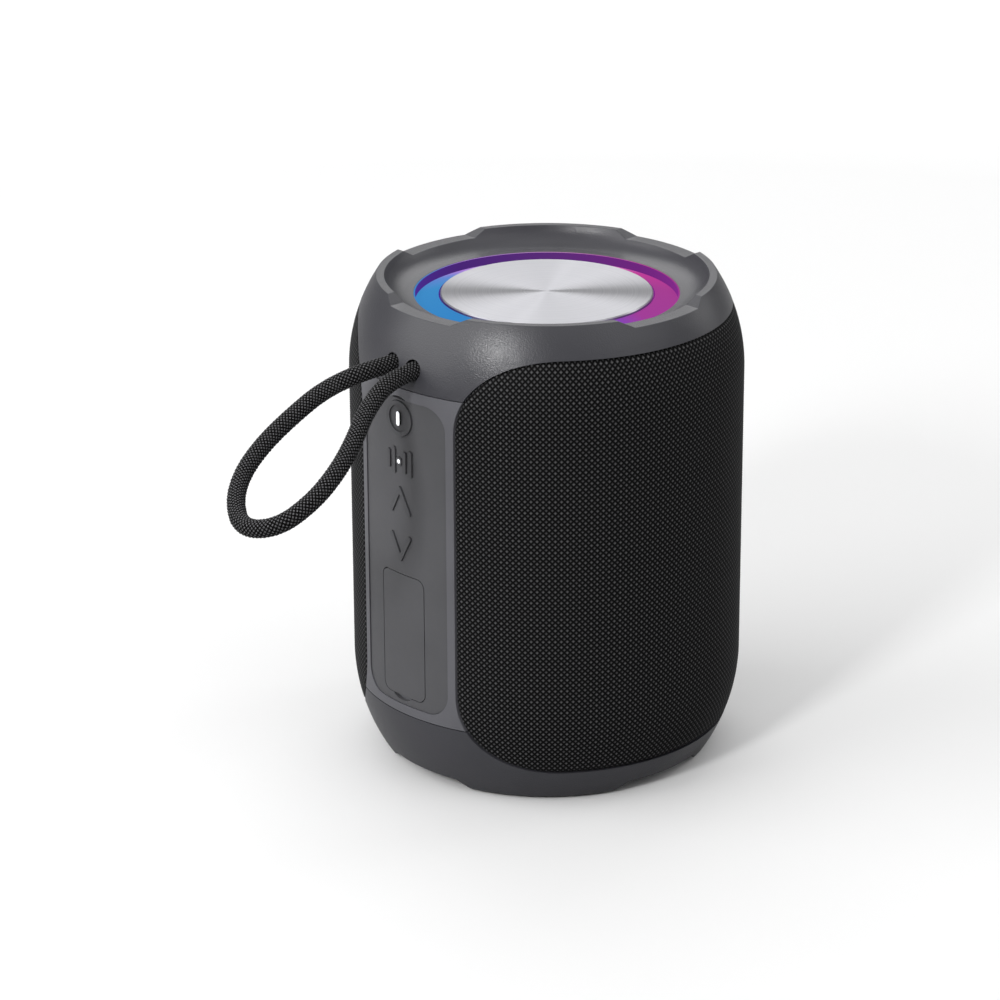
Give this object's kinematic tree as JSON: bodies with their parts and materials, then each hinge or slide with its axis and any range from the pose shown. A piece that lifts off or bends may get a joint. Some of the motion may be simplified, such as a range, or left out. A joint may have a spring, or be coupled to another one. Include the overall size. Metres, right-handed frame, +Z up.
{
  "type": "shower speaker",
  "caption": "Cylindrical portable speaker with fabric wrap, castellated crown and base, light ring around a metal radiator disc, control spine, port flap and rope lanyard.",
  "frame": {"origin": "centre of the body's footprint, on the surface that the foot pads stand on", "axes": "+Z up along the body's axis; the control spine and the lanyard face -Y; +X is to the right of someone who faces the spine"},
  "size_m": [0.0918, 0.1412, 0.1156],
  "materials": {
    "crown_plastic": "satin moulded ABS",
    "spine_plastic": "satin moulded ABS",
    "soft_pad": "soft-touch silicone",
    "keys": "soft-touch silicone",
    "white_light": "lit light guide",
    "ring_light": "lit milky light guide",
    "spun_disc": "turned and anodised",
    "black_fabric": "plain weave",
    "cage_plastic": "moulded",
    "rope": "braided cord",
    "black_rubber": "matte",
    "inner_plastic": "moulded",
    "circuit_board": "solder mask",
    "chip_black": "moulded epoxy",
    "led_white": "LED package",
    "steel": "zinc plated",
    "basket_steel": "black coated",
    "paper_cone": "pressed paper",
    "copper": "enamelled copper wire",
    "battery_wrap": "shrink sleeve"
  },
  "bodies": {
    "shell": {"top_housing": "crown_plastic", "base_housing": "crown_plastic", "spine_panel": "spine_plastic", "control_pad": "soft_pad", "flap_web": "soft_pad", "light_ring": "ring_light", "fabric_grille": "black_fabric", "grille_cage": "cage_plastic", "lanyard": "rope", "lanyard_ferrules": "steel", "lanyard_retainer": "inner_plastic", "foot_pads": "black_rubber", "base_pad": "black_rubber", "base_seal": "black_rubber", "radiator_gasket": "black_rubber", "radiator_surround": "black_rubber", "driver_surround": "black_rubber", "inner_chassis": "inner_plastic", "battery_holder": "inner_plastic", "radiator_frame": "inner_plastic", "led_board": "circuit_board", "key_board": "circuit_board", "main_board": "circuit_board", "board_chips": "chip_black", "ring_leds": "led_white", "key_cable": "inner_plastic", "usb_c_socket": "steel", "audio_jack": "chip_black", "tact_switches": "steel", "base_screws": "steel", "crown_screws": "steel", "driver_screws": "steel", "board_screws": "steel", "driver_basket": "basket_steel", "driver_motor": "steel", "driver_spider": "paper_cone", "battery_cells": "battery_wrap"},
    "radiator": {"radiator_disc": "spun_disc", "radiator_piston": "inner_plastic", "radiator_weight": "steel"},
    "cone": {"driver_cone": "paper_cone", "dust_cap": "paper_cone", "voice_coil": "copper"},
    "power_key": {"power_button": "keys", "power_light_bar": "white_light", "power_plunger": "chip_black"},
    "eq_key": {"eq_button": "keys", "eq_light": "white_light", "eq_plunger": "chip_black"},
    "volume_up_key": {"volume_up_button": "keys", "volume_up_plunger": "chip_black"},
    "volume_down_key": {"volume_down_button": "keys", "volume_down_plunger": "chip_black"},
    "flap": {"port_flap": "soft_pad"}
  },
  "joints": [
    {"name": "radiator_travel", "type": "slide", "parent": "shell", "child": "radiator", "axis": [0, 0, 1], "range_m": [-0.001, 0.001], "stiffness_N_per_m": 2500, "deforming": ["radiator_surround"]},
    {"name": "cone_travel", "type": "slide", "parent": "shell", "child": "cone", "axis": [0, 1, 0], "range_m": [-0.002, 0.002], "stiffness_N_per_m": 800, "deforming": ["driver_surround", "driver_spider"]},
    {"name": "power_press", "type": "slide", "parent": "shell", "child": "power_key", "axis": [0, 1, 0], "range_m": [0, 0.0003], "stiffness_N_per_m": 4000},
    {"name": "eq_press", "type": "slide", "parent": "shell", "child": "eq_key", "axis": [0, 1, 0], "range_m": [0, 0.0003], "stiffness_N_per_m": 4000},
    {"name": "volume_up_press", "type": "slide", "parent": "shell", "child": "volume_up_key", "axis": [0, 1, 0], "range_m": [0, 0.0003], "stiffness_N_per_m": 4000},
    {"name": "volume_down_press", "type": "slide", "parent": "shell", "child": "volume_down_key", "axis": [0, 1, 0], "range_m": [0, 0.0003], "stiffness_N_per_m": 4000},
    {"name": "flap_hinge", "type": "hinge", "parent": "shell", "child": "flap", "pos_m": [0, -0.04565, 0.0532], "axis": [-1, 0, 0], "range_deg": [0, 110], "deforming": ["flap_web"]}
  ]
}
